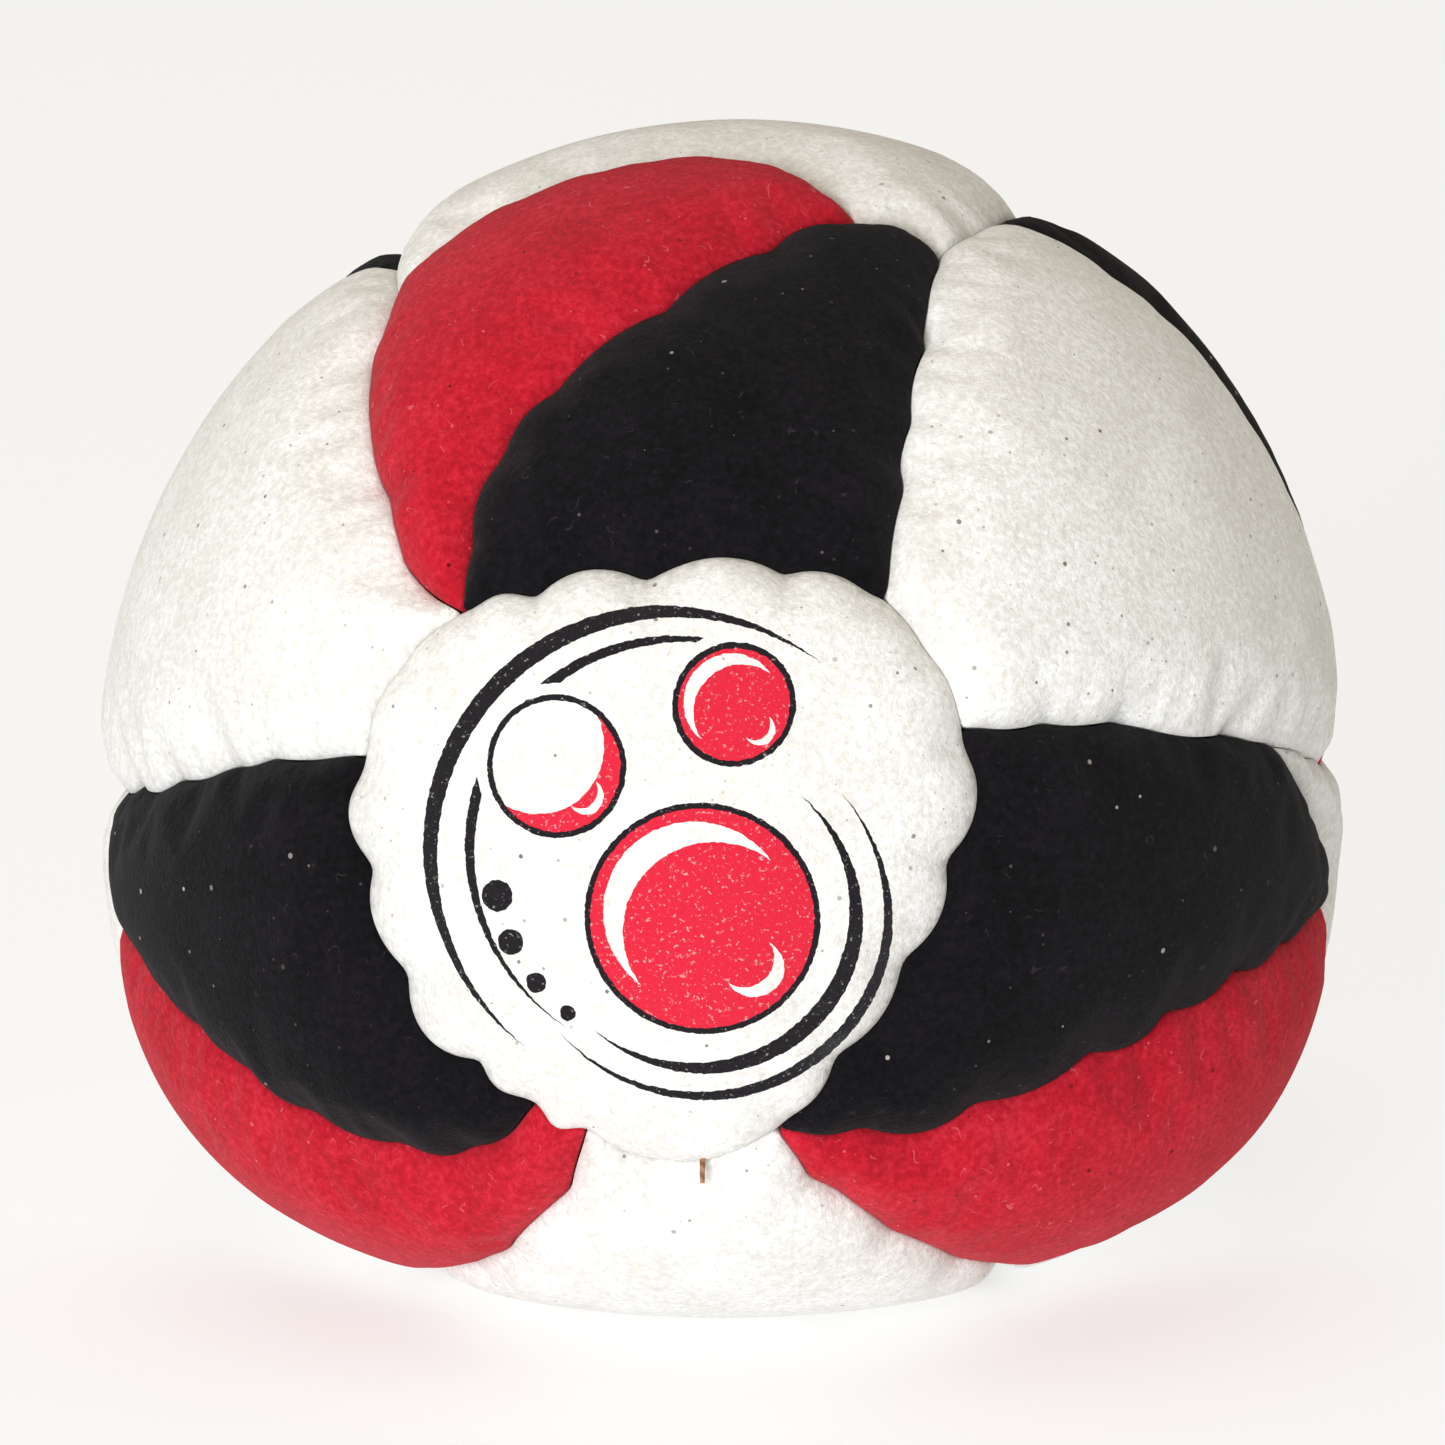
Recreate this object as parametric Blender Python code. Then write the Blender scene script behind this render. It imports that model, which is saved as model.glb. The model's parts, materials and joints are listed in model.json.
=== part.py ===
"""A stitched juggling ball: fourteen suede panels sewn into a soft ball that is filled with pellets.

Two panels are round, six are rounded triangles and six are squares. Each square is sewn from a black and
a red piece, so the cover has twenty pieces. Every piece turns in along its edges, thread holds
each pair of turned-in edges together, and the pellets lie inside.
The ball has slumped under its own weight and stands on a flat patch. Metres, +Z up, origin under the
middle of the flat patch, and the printed round panel faces -Y.
"""

import math

import bmesh
import bpy
from mathutils import Matrix, Vector
from mathutils.geometry import delaunay_2d_cdt
from mathutils.kdtree import KDTree

# The slumped body: an ellipsoid above its widest level, a squarer one below it, cut flat where it stands.
# The part above leans to one side by a share of its radius.
BALL_RADIUS = 0.032
CENTRE_HEIGHT = 0.0242
UPPER_HEIGHT = 0.0337
LOWER_HEIGHT = 0.0252
UPPER_SQUARENESS = 2.02
LOWER_SQUARENESS = 2.85
LEAN = 0.03

# The cover.
FABRIC = 0.0008
SEAM_GAP = 0.0005
SEAM_ALLOWANCE = 0.0025
VALLEY_DEPTH = 0.0012
VALLEY_WIDTH = 0.0045
EDGE_STEP = 0.0030
GRID_STEP = 0.0042

# The thread and the filling.
THREAD_RADIUS = 0.0003
THREAD_CLEARANCE = 0.0004
THREAD_STEP = 0.0030
SHARP_END = 0.0024
SQUARE_END = 0.0014
FILL_CLEARANCE = 0.0009
FILL_GROOVE = 0.0055
FILL_SHOULDER = 0.0080

# Where the printed round panel faces.
PRINT_AZIMUTH = math.radians(6.0)
PRINT_ELEVATION = math.radians(9.1)

# Seam corners as (angle round the printed panel, angle away from its middle), in degrees.
# Angle 0 is to the right of the print and 90 is above it.
FRONT_RING = 30.0
REAR_RING = 146.0
CORNERS = {
    "front_1": (48.8, 31.4),
    "front_2": (21.6, 30.8),
    "front_3": (291.8, FRONT_RING),
    "front_4": (255.5, 29.3),
    "front_5": (167.0, 31.0),
    "front_6": (133.7, 29.6),
    "top_right": (67.4, 70.6),
    "top_left": (122.3, 72.0),
    "right_top": (7.0, 72.0),
    "right_bottom": (304.0, 69.0),
    "left_top": (181.3, 78.2),
    "left_bottom": (242.0, 66.5),
    "far_right_up": (64.6, 84.0),
    "far_right_down": (3.0, 90.0),
    "far_left_up": (122.6, 84.0),
    "far_left_down": (182.0, 89.0),
    "far_low_left": (239.0, 79.0),
    "far_low_right": (302.0, 80.0),
    "rear_1": (74.0, REAR_RING),
    "rear_2": (350.0, REAR_RING),
    "rear_3": (312.0, REAR_RING),
    "rear_4": (228.0, REAR_RING),
    "rear_5": (193.0, REAR_RING),
    "rear_6": (109.0, REAR_RING),
    # Where the seam between black and red meets an edge of its square.
    "top_split": (75.6, 70.6),
    "right_split": (350.5, 95.5),
    "left_split": (191.5, 82.5),
    "left_start": (245.0, 28.6),
}

# Each seam's way from one corner to the next. A seam with no points runs round its ring, or straight.
SEAMS = {
    ("front_1", "front_2"): [],
    ("front_2", "front_3"): [(0.0, 28.5), (341.0, 27.1), (317.0, 26.9)],
    ("front_3", "front_4"): [(274.0, 31.5)],
    ("front_4", "left_start"): [],
    ("left_start", "front_5"): [(229.0, 29.4), (216.0, 30.0), (198.0, 29.4), (183.0, 30.4)],
    ("front_5", "front_6"): [(150.0, 31.2)],
    ("front_6", "front_1"): [(112.0, 26.5), (90.0, 25.8), (68.0, 28.6)],
    ("front_1", "top_right"): [(55.8, 38.7), (61.9, 48.3), (64.8, 58.0)],
    ("front_2", "right_top"): [(17.0, 39.0), (14.8, 46.0), (10.6, 58.0)],
    ("front_3", "right_bottom"): [(293.7, 36.3), (296.9, 42.6), (300.5, 52.0)],
    ("front_4", "left_bottom"): [(255.3, 34.0), (252.5, 41.6), (247.5, 52.0)],
    ("front_5", "left_top"): [(169.4, 36.3), (173.6, 45.3), (178.2, 58.5)],
    ("front_6", "top_left"): [(136.2, 36.2), (132.6, 45.8), (129.4, 57.0)],
    ("top_left", "top_split"): [(115.0, 76.4), (103.0, 79.8), (91.2, 80.9), (81.6, 77.0)],
    ("top_split", "top_right"): [(71.2, 71.6)],
    ("right_top", "right_split"): [(359.2, 83.0)],
    ("right_split", "right_bottom"): [(340.0, 96.5), (325.0, 91.0), (312.0, 80.8)],
    ("left_top", "left_split"): [],
    ("left_split", "left_bottom"): [(202.0, 85.0), (217.0, 82.5), (230.0, 76.0)],
    ("top_right", "far_right_up"): [],
    ("right_top", "far_right_down"): [],
    ("top_left", "far_left_up"): [],
    ("left_top", "far_left_down"): [],
    ("left_bottom", "far_low_left"): [],
    ("right_bottom", "far_low_right"): [],
    ("far_right_up", "far_right_down"): [(49.0, 91.0), (33.0, 93.2), (17.0, 94.5)],
    ("far_left_up", "far_left_down"): [(135.0, 93.5), (151.0, 97.0), (168.0, 95.0)],
    ("far_low_left", "far_low_right"): [(254.0, 87.5), (270.0, 90.0), (286.0, 88.0)],
    ("far_right_up", "rear_1"): [(64.0, 100.0), (65.5, 122.0)],
    ("far_right_down", "rear_2"): [(2.0, 104.0), (359.5, 123.0)],
    ("far_left_up", "rear_6"): [(121.6, 100.0), (119.0, 122.0)],
    ("far_left_down", "rear_5"): [(182.5, 103.0), (184.5, 123.0)],
    ("far_low_left", "rear_4"): [(240.0, 100.0), (238.0, 122.0)],
    ("far_low_right", "rear_3"): [(301.0, 100.0), (303.0, 122.0)],
    ("rear_1", "rear_2"): [(51.0, 148.0), (32.0, 149.0), (13.0, 148.0)],
    ("rear_2", "rear_3"): [],
    ("rear_3", "rear_4"): [(291.0, 148.0), (270.0, 149.0), (249.0, 148.0)],
    ("rear_4", "rear_5"): [],
    ("rear_5", "rear_6"): [(172.0, 148.0), (151.0, 149.0), (130.0, 148.0)],
    ("rear_6", "rear_1"): [],
    # The seams between the black and the red pieces.
    ("front_6", "top_split"): [(121.0, 38.4), (110.0, 45.2), (100.6, 49.4), (86.4, 60.2), (80.6, 66.6)],
    ("front_3", "right_split"): [(305.3, 34.8), (315.6, 39.4), (327.2, 45.9), (336.6, 54.9), (344.2, 67.5)],
    ("left_start", "left_split"): [(239.4, 37.2), (228.4, 44.0), (216.6, 52.0), (206.8, 60.0), (200.4, 69.0)],
    ("far_right_down", "rear_1"): [(11.5, 102.0), (22.5, 112.5), (37.5, 122.5), (55.0, 133.5)],
    ("far_left_down", "rear_6"): [(172.0, 103.0), (160.5, 114.0), (145.5, 123.5), (128.5, 134.0)],
    ("far_low_left", "rear_3"): [(248.0, 92.0), (257.0, 107.0), (273.0, 121.0), (292.0, 133.0)],
}

# Each piece of the cover: its colour and the corners round its outline.
WHITE, BLACK, RED = "white", "black", "red"
PIECES = {
    "print_panel": (WHITE, "front_1 front_2 front_3 front_4 left_start front_5 front_6"),
    "right_white_panel": (WHITE, "front_1 top_right far_right_up far_right_down right_top front_2"),
    "left_white_panel": (WHITE, "front_6 top_left far_left_up far_left_down left_top front_5"),
    "lower_white_panel": (WHITE, "front_4 left_bottom far_low_left far_low_right right_bottom front_3"),
    "top_black_piece": (BLACK, "front_6 top_split top_right front_1"),
    "top_red_piece": (RED, "front_6 top_left top_split"),
    "right_black_piece": (BLACK, "front_3 right_split right_top front_2"),
    "right_red_piece": (RED, "front_3 right_bottom right_split"),
    "left_black_piece": (BLACK, "left_start left_split left_top front_5"),
    "left_red_piece": (RED, "front_4 left_bottom left_split left_start"),
    "rear_top_white_panel": (
        WHITE,
        "top_left top_split top_right far_right_up rear_1 rear_6 far_left_up",
    ),
    "rear_right_white_panel": (
        WHITE,
        "right_top right_split right_bottom far_low_right rear_3 rear_2 far_right_down",
    ),
    "rear_left_white_panel": (
        WHITE,
        "left_top left_split left_bottom far_low_left rear_4 rear_5 far_left_down",
    ),
    "rear_right_black_piece": (BLACK, "far_right_down rear_1 far_right_up"),
    "rear_right_red_piece": (RED, "far_right_down rear_2 rear_1"),
    "rear_left_black_piece": (BLACK, "far_left_down rear_6 far_left_up"),
    "rear_left_red_piece": (RED, "far_left_down rear_5 rear_6"),
    "rear_low_black_piece": (BLACK, "far_low_left rear_3 far_low_right"),
    "rear_low_red_piece": (RED, "far_low_left rear_4 rear_3"),
    "rear_round_panel": (WHITE, "rear_1 rear_2 rear_3 rear_4 rear_5 rear_6"),
}

# Each length of thread: how it ends, and the corners it passes. A round one comes back to its start, and
# an open one stops short of the thread it meets, further off where they meet at a sharp angle.
ROUND, SHARP, SQUARE = 0.0, SHARP_END, SQUARE_END
THREADS = {
    "top_square_thread": (ROUND, "front_6 top_left top_split top_right front_1"),
    "right_square_thread": (ROUND, "front_3 right_bottom right_split right_top front_2"),
    "left_square_thread": (ROUND, "front_4 left_bottom left_split left_top front_5 left_start"),
    "rear_right_square_thread": (ROUND, "far_right_up far_right_down rear_2 rear_1"),
    "rear_left_square_thread": (ROUND, "far_left_up far_left_down rear_5 rear_6"),
    "rear_low_square_thread": (ROUND, "far_low_left far_low_right rear_3 rear_4"),
    "top_split_thread": (SHARP, "front_6 top_split"),
    "right_split_thread": (SHARP, "front_3 right_split"),
    "left_split_thread": (SHARP, "left_start left_split"),
    "rear_right_split_thread": (SHARP, "far_right_down rear_1"),
    "rear_left_split_thread": (SHARP, "far_left_down rear_6"),
    "rear_low_split_thread": (SHARP, "far_low_left rear_3"),
    "front_right_thread": (SQUARE, "front_1 front_2"),
    "front_low_thread": (SQUARE, "front_3 front_4"),
    "front_left_thread": (SQUARE, "front_5 front_6"),
    "side_thread_1": (SQUARE, "top_right far_right_up"),
    "side_thread_2": (SQUARE, "top_left far_left_up"),
    "side_thread_3": (SQUARE, "left_top far_left_down"),
    "side_thread_4": (SQUARE, "left_bottom far_low_left"),
    "side_thread_5": (SQUARE, "right_bottom far_low_right"),
    "side_thread_6": (SHARP, "right_top far_right_down"),
    "rear_right_thread": (SQUARE, "rear_2 rear_3"),
    "rear_left_thread": (SQUARE, "rear_4 rear_5"),
    "rear_top_thread": (SQUARE, "rear_6 rear_1"),
}

COLOURS = {
    WHITE: (0.86, 0.86, 0.84),
    BLACK: (0.012, 0.011, 0.012),
    RED: (0.56, 0.012, 0.03),
    "thread": (0.80, 0.79, 0.75),
    "pellets": (0.55, 0.50, 0.40),
}

CENTRE = Vector((0.0, 0.0, CENTRE_HEIGHT))


def print_frame():
    """Right, up and outward directions of the printed panel, as the columns of a matrix."""
    outward = Vector(
        (
            -math.sin(PRINT_AZIMUTH) * math.cos(PRINT_ELEVATION),
            -math.cos(PRINT_AZIMUTH) * math.cos(PRINT_ELEVATION),
            math.sin(PRINT_ELEVATION),
        )
    )
    right = Vector((0, 0, 1)).cross(outward).normalized()
    return Matrix((right, outward.cross(right), outward)).transposed()


PRINT_FRAME = print_frame()


def direction(around, away):
    """The unit direction from the ball's middle to a place on the cover, from its two angles in degrees."""
    around, away = math.radians(around), math.radians(away)
    flat = math.sin(away)
    return PRINT_FRAME @ Vector((flat * math.cos(around), flat * math.sin(around), math.cos(away)))


def body_radius(way):
    """How far the unpuckered cover is from the ball's middle in a direction."""
    upper = way.z > 0
    height = UPPER_HEIGHT if upper else LOWER_HEIGHT
    power = UPPER_SQUARENESS if upper else LOWER_SQUARENESS
    across = math.hypot(way.x, way.y) / BALL_RADIUS
    reach = (across**power + (abs(way.z) / height) ** power) ** (-1 / power)
    if upper:
        return reach * (1 + LEAN * way.x * way.z)
    return min(reach, CENTRE_HEIGHT / max(-way.z, 1e-9))


def seam_ways(start, end):
    """Directions along a seam from one corner to another, as points for a smooth curve."""
    if (start, end) not in SEAMS:
        return seam_ways(end, start)[::-1]
    first, last = CORNERS[start], CORNERS[end]
    between = SEAMS[start, end]
    if not between and abs(first[1] - last[1]) < 2:
        turn = (last[0] - first[0] + 180) % 360 - 180
        between = [(first[0] + turn * t, first[1] + (last[1] - first[1]) * t) for t in (0.33, 0.67)]
    return [direction(*place) for place in (first, *between, last)]


def smooth_curve(ways, step):
    """Directions about step apart on the cover, along a Catmull-Rom curve through ways."""
    ends = [2 * ways[0] - ways[1], *ways, 2 * ways[-1] - ways[-2]]
    fine = []
    for before, here, after, beyond in zip(ends, ends[1:], ends[2:], ends[3:]):
        for t in (i / 16 for i in range(16)):
            bend = 2 * before - 5 * here + 4 * after - beyond
            twist = 3 * here - before - 3 * after + beyond
            place = here + 0.5 * t * ((after - before) + t * (bend + t * twist))
            fine.append(place.normalized())
    fine.append(ways[-1])
    along = [0.0]
    for here, after in zip(fine, fine[1:]):
        along.append(along[-1] + (after - here).length * BALL_RADIUS)
    count = max(2, round(along[-1] / step))
    picked, i = [], 0
    for n in range(count):
        at = along[-1] * n / count
        while along[i + 1] < at:
            i += 1
        share = (at - along[i]) / (along[i + 1] - along[i])
        picked.append(fine[i].lerp(fine[i + 1], share).normalized())
    return picked + [fine[-1]]


def outline(corners, closed, step):
    """Directions along all the seams that join these corners, in order."""
    names = corners.split()
    pairs = list(zip(names, names[1:] + names[:1] if closed else names[1:]))
    ways = [way for pair in pairs for way in smooth_curve(seam_ways(*pair), step)[:-1]]
    return ways if closed else ways + [direction(*CORNERS[names[-1]])]


def all_seam_points():
    """A search tree of points along every seam, on the ball's unit sphere."""
    points = [way for pair in SEAMS for way in smooth_curve(seam_ways(*pair), EDGE_STEP / 4)]
    tree = KDTree(len(points))
    for i, point in enumerate(points):
        tree.insert(point, i)
    tree.balance()
    return tree


def valley(distance):
    """How far the cover is drawn in at this distance from a seam."""
    if distance >= VALLEY_WIDTH:
        return 0.0
    return VALLEY_DEPTH * (1 - math.sqrt(1 - (1 - distance / VALLEY_WIDTH) ** 2))


def material(name):
    made = bpy.data.materials.get(name) or bpy.data.materials.new(name)
    made.use_nodes = True
    shader = made.node_tree.nodes["Principled BSDF"]
    shader.inputs["Base Color"].default_value = (*COLOURS[name], 1.0)
    shader.inputs["Roughness"].default_value = 0.9
    shader.inputs["Metallic"].default_value = 0.0
    return made


def add_object(name, data, colour):
    made = bpy.data.objects.new(name, data)
    data.materials.append(material(colour))
    bpy.context.scene.collection.objects.link(made)
    return made


class FlatMap:
    """Lays part of the cover flat round a middle direction, and back, keeping lengths near the middle."""

    def __init__(self, ways):
        self.middle = sum(ways, Vector()).normalized()
        self.right = self.middle.orthogonal().normalized()
        self.up = self.middle.cross(self.right)

    def flat(self, way):
        turn = self.middle.angle(way)
        side = Vector((way.dot(self.right), way.dot(self.up)))
        return side.normalized() * turn * BALL_RADIUS if side.length > 1e-9 else Vector((0, 0))

    def way(self, place):
        turn = place.length / BALL_RADIUS
        if turn < 1e-9:
            return self.middle.copy()
        side = place.normalized()
        return self.middle * math.cos(turn) + (self.right * side.x + self.up * side.y) * math.sin(turn)


def drawn_in(loop, distance):
    """A closed flat outline moved inwards by a distance."""
    area = sum(a.x * b.y - b.x * a.y for a, b in zip(loop, loop[1:] + loop[:1]))
    sign = 1 if area > 0 else -1
    moved = []
    for before, here, after in zip(loop[-1:] + loop[:-1], loop, loop[1:] + loop[:1]):
        first, second = (here - before).normalized(), (after - here).normalized()
        normals = [Vector((-v.y, v.x)) * sign for v in (first, second)]
        lean = (normals[0] + normals[1]).normalized()
        moved.append(here + lean * distance / max(0.2, lean.dot(normals[0])))
    return moved


def grid_points(loop, step):
    """Points of a triangular grid that lie inside a flat outline and clear of it."""
    low = Vector((min(p.x for p in loop), min(p.y for p in loop)))
    high = Vector((max(p.x for p in loop), max(p.y for p in loop)))
    row_step = step * math.sqrt(3) / 2
    found = []
    for row in range(int((high.y - low.y) / row_step) + 1):
        y = low.y + (row + 0.5) * row_step
        for column in range(int((high.x - low.x) / step) + 2):
            place = Vector((low.x + (column + 0.5 * (row % 2)) * step, y))
            crossings = 0
            for a, b in zip(loop, loop[1:] + loop[:1]):
                if (a.y > y) != (b.y > y) and place.x < a.x + (b.x - a.x) * (y - a.y) / (b.y - a.y):
                    crossings += 1
            if crossings % 2 and min((place - p).length for p in loop) > 0.62 * step:
                found.append(place)
    return found


def add_cover_piece(name, colour, corners, seams):
    """One piece of suede: its outer face, the edge turned in all round it, and its thickness."""
    ways = outline(corners, True, EDGE_STEP)
    flat_map = FlatMap(ways)
    loop = drawn_in([flat_map.flat(way) for way in ways], SEAM_GAP / 2)
    places = loop + grid_points(loop, GRID_STEP)
    made = delaunay_2d_cdt(places, [], [list(range(len(loop)))], 1, 1e-9)
    sheet = bmesh.new()
    for place in made[0]:
        way = flat_map.way(place)
        near = seams.find(way)[2] * BALL_RADIUS
        sheet.verts.new(CENTRE + way * (body_radius(way) - valley(max(0.0, near - SEAM_GAP / 2))))
    sheet.verts.ensure_lookup_table()
    for face in made[2]:
        sheet.faces.new([sheet.verts[i] for i in face])
    sheet.normal_update()
    if sum(face.normal.dot(face.calc_center_median() - CENTRE) for face in sheet.faces) < 0:
        bmesh.ops.reverse_faces(sheet, faces=sheet.faces)
    edges = [edge for edge in sheet.edges if edge.is_boundary]
    turned = bmesh.ops.extrude_edge_only(sheet, edges=edges)["geom"]
    for vertex in (item for item in turned if isinstance(item, bmesh.types.BMVert)):
        vertex.co -= (vertex.co - CENTRE).normalized() * SEAM_ALLOWANCE
    mesh = bpy.data.meshes.new(name)
    sheet.to_mesh(mesh)
    sheet.free()
    piece = add_object(name, mesh, colour)
    thickness = piece.modifiers.new("Fabric thickness", "SOLIDIFY")
    thickness.thickness = FABRIC
    thickness.offset = -1.0
    thickness.use_even_offset = True
    mesh.shade_smooth()
    mesh.set_sharp_from_angle(angle=math.radians(50))
    return piece


def add_thread(name, end, corners):
    """A length of thread under the turned-in edges of its seams."""
    closed = end == ROUND
    ways = outline(corners, closed, THREAD_STEP)
    depth = VALLEY_DEPTH + SEAM_ALLOWANCE + THREAD_CLEARANCE + THREAD_RADIUS
    points = [CENTRE + way * (body_radius(way) - depth) for way in ways]
    if not closed:
        points[0] = points[0] + (points[1] - points[0]).normalized() * end
        points[-1] = points[-1] + (points[-2] - points[-1]).normalized() * end
    curve = bpy.data.curves.new(name, "CURVE")
    curve.dimensions = "3D"
    curve.bevel_depth = THREAD_RADIUS
    curve.bevel_resolution = 1
    curve.use_fill_caps = True
    spline = curve.splines.new("POLY")
    spline.points.add(len(points) - 1)
    for knot, point in zip(spline.points, points):
        knot.co = (*point, 1.0)
    spline.use_cyclic_u = closed
    return add_object(name, curve, "thread")


def add_filling(seams):
    """The pellets as one packed lump, which swells into each panel and clears the turned-in edges."""
    lump = bmesh.new()
    bmesh.ops.create_icosphere(lump, subdivisions=4, radius=1.0)
    high = FABRIC + FILL_CLEARANCE
    low = VALLEY_DEPTH + SEAM_ALLOWANCE + THREAD_CLEARANCE + 2 * THREAD_RADIUS + FILL_CLEARANCE
    for vertex in lump.verts:
        way = vertex.co.normalized()
        near = seams.find(way)[2] * BALL_RADIUS
        share = min(1.0, max(0.0, (near - FILL_GROOVE) / (FILL_SHOULDER - FILL_GROOVE)))
        vertex.co = CENTRE + way * (body_radius(way) - low + share * (low - high))
    mesh = bpy.data.meshes.new("pellet_filling")
    lump.to_mesh(mesh)
    lump.free()
    mesh.shade_smooth()
    return add_object("pellet_filling", mesh, "pellets")


def main():
    for existing in list(bpy.data.objects):
        bpy.data.objects.remove(existing)
    seams = all_seam_points()
    for name, (colour, corners) in PIECES.items():
        add_cover_piece(name, colour, corners, seams)
    for name, (end, corners) in THREADS.items():
        add_thread(name, end, corners)
    add_filling(seams)


main()
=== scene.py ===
# %% [markdown]
# # A sewn juggling ball
# The ball is a bag of twenty suede pieces, turned right side out after sewing and stuffed with pellets.
# Its thread and its filling are already modelled as solids and stay as they are. The suede is what
# everyone sees, so this script sews the cover again in fine cloth and lets the filling push it out.

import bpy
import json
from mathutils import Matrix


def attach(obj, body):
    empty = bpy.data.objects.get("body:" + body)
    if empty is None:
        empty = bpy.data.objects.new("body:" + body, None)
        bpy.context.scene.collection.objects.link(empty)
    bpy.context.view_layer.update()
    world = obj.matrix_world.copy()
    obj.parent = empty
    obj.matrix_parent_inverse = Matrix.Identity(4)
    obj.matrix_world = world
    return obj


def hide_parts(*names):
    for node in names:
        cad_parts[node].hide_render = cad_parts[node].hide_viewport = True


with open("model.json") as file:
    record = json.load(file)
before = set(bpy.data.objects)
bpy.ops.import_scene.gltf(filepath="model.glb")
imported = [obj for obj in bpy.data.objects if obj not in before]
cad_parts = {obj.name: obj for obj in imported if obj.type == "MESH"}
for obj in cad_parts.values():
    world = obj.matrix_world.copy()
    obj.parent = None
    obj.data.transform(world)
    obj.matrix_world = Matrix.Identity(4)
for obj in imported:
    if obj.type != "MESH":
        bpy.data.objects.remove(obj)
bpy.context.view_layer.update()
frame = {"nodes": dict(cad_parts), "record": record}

import json
import math
import random

import bmesh
import bpy
import numpy as np
from mathutils import Matrix, Vector
from mathutils.geometry import delaunay_2d_cdt
from mathutils.kdtree import KDTree

MM = 0.001
nodes = frame["nodes"]
slot_of = {part["node"]: part["material_slot"] for part in frame["record"]["subparts"]}
cover = sorted(name for name, slot in slot_of.items() if slot.endswith("suede"))
print(len(nodes), "solids,", len(cover), "of them suede pieces")

# %% [markdown]
# A full bag of pellets is nearly a sphere, but it slumps: its lower half spreads and stands on a flat
# patch. The cover is laid over that slumped body, so its radius in each direction is needed first.
# A superellipse gives the outline with one power above the widest level and another below it, and the
# part above leans a little to one side.

# %% The slumped body
HEART = Vector((0, 0, 24.2)) * MM
BALL_RADIUS = 32 * MM
UPPER_HEIGHT, UPPER_SQUARENESS = 33.7 * MM, 2.02
LOWER_HEIGHT, LOWER_SQUARENESS = 25.2 * MM, 2.85
LEAN = 0.03


def body_radius(way):
    """How far the smooth, unsewn body reaches from its middle in a direction."""
    height, power = LOWER_HEIGHT, LOWER_SQUARENESS
    if way.z > 0:
        height, power = UPPER_HEIGHT, UPPER_SQUARENESS
    across = math.hypot(way.x, way.y) / BALL_RADIUS
    reach = (across**power + (abs(way.z) / height) ** power) ** (-1 / power)
    if way.z > 0:
        return reach * (1 + LEAN * way.x * way.z)
    return min(reach, HEART.z / -way.z) if way.z < 0 else reach


print("the body rises", round(body_radius(Vector((0, 0, 1))) / MM, 1), "mm above its middle")

# %% [markdown]
# Places on the cover are easiest to give as on a globe that has the middle of the printed round panel
# as its pole: one angle round the print, from its right towards its top, and one angle away from it.

# %% Places on the cover
PRINT_AZIMUTH = math.radians(6.0)
PRINT_ELEVATION = math.radians(9.1)
outward = Vector(
    (
        -math.sin(PRINT_AZIMUTH) * math.cos(PRINT_ELEVATION),
        -math.cos(PRINT_AZIMUTH) * math.cos(PRINT_ELEVATION),
        math.sin(PRINT_ELEVATION),
    )
)
right = Vector((0, 0, 1)).cross(outward).normalized()
PRINT_FRAME = Matrix((right, outward.cross(right), outward)).transposed()


def direction(around, away):
    """The unit direction of a place on the cover, from its two angles in degrees."""
    around, away = math.radians(around), math.radians(away)
    flat = math.sin(away)
    return PRINT_FRAME @ Vector((flat * math.cos(around), flat * math.sin(around), math.cos(away)))


print("the print faces", tuple(round(value, 2) for value in direction(0, 0)))

# %% [markdown]
# Each suede piece has a solid that shows where it was cut. Its edge is read from the rim of that solid's
# outer face. The solids keep a small gap between them, so each edge is let out by half of that gap and
# then lies on the seam itself.

# %% Read the edge of a piece
SEAM_GAP = 0.5 * MM
DOUBLES = 0.01 * MM
OUTER_FACING = 0.35  # cosine of the widest angle between an outer face and the way out
SHARPEST = 0.2  # stops a sharp corner from being let out too far


def let_out(ways, distance):
    """A closed run of directions moved outwards by a distance, negative to take it in."""
    moved = []
    for before, here, after in zip(ways[-1:] + ways[:-1], ways, ways[1:] + ways[:1]):
        sides = [(b - a).cross(here).normalized() for a, b in ((before, here), (here, after))]
        lean = (sides[0] + sides[1]).normalized()
        step = distance / BALL_RADIUS / max(SHARPEST, lean.dot(sides[0]))
        moved.append((here + lean * step).normalized())
    return moved


def cut_edge(name):
    """Directions round the edge of a piece's outer face, in order, with the piece on the left."""
    skin = bmesh.new()
    skin.from_mesh(nodes[name].data)
    bmesh.ops.remove_doubles(skin, verts=skin.verts, dist=DOUBLES)
    skin.normal_update()
    for face in skin.faces:
        way_out = (face.calc_center_median() - HEART).normalized()
        face.tag = face.normal.dot(way_out) > OUTER_FACING
    after = {}
    for face in skin.faces:
        for corner in face.loops:
            if face.tag and sum(other.tag for other in corner.edge.link_faces) == 1:
                after[corner.vert.index] = corner.link_loop_next.vert.index
    skin.verts.ensure_lookup_table()
    longest = []
    while after:
        order = [min(after)]
        while after.get(order[-1]) is not None:
            order.append(after.pop(order[-1]))
        longest = max(longest, order[:-1], key=len)
    ways = [(skin.verts[i].co - HEART).normalized() for i in longest]
    skin.free()
    return let_out(ways, SEAM_GAP / 2)


edges = {name: cut_edge(name) for name in cover}
print("edge points:", {name: len(ways) for name, ways in edges.items()})

# %% [markdown]
# Two pieces share each seam, so their edge points lie in the same places. Points that coincide become
# one knot. A knot where three or more pieces meet is a corner, and a seam runs from corner to corner.

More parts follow.
